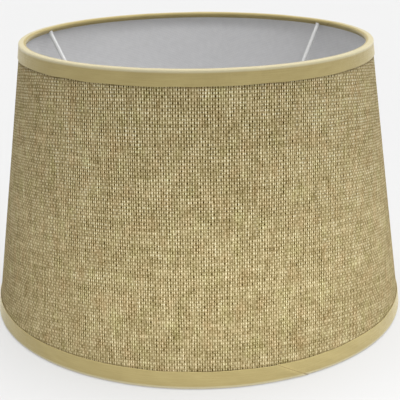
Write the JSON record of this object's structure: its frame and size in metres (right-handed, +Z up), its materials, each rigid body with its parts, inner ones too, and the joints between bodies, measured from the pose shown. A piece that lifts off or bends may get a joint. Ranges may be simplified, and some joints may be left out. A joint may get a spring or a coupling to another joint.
{
  "type": "lamp shade",
  "caption": "Tapered round lamp shade of woven cloth on a plastic liner, taped over wire rims, with a dropped spider fitter that sits on a lampholder.",
  "frame": {"origin": "centre of the base, on the plane the bottom rim stands on", "axes": "+Z up along the shade's axis, -Y towards the front, with the wall's lap seam at the back on +Y, +X to the right seen from the front"},
  "size_m": [0.3, 0.3015, 0.194],
  "materials": {
    "woven_cloth": "coarse plain-weave linen look, beige yarn with darker gaps",
    "liner_plastic": "matte white translucent sheet with a faint weave print",
    "glue": "clear double-sided adhesive strip",
    "trim_tape": "smooth folded bias tape, fine weave",
    "enamelled_wire": "white powder-coated steel"
  },
  "bodies": {
    "root": {"fabric_cover": "woven_cloth", "liner": "liner_plastic", "seam_glue_strip": "glue", "top_ring": "enamelled_wire", "bottom_ring": "enamelled_wire", "top_tape": "trim_tape", "bottom_tape": "trim_tape", "fitter_ring": "enamelled_wire", "arm_back_right": "enamelled_wire", "arm_back_left": "enamelled_wire", "arm_front": "enamelled_wire"}
  },
  "joints": []
}
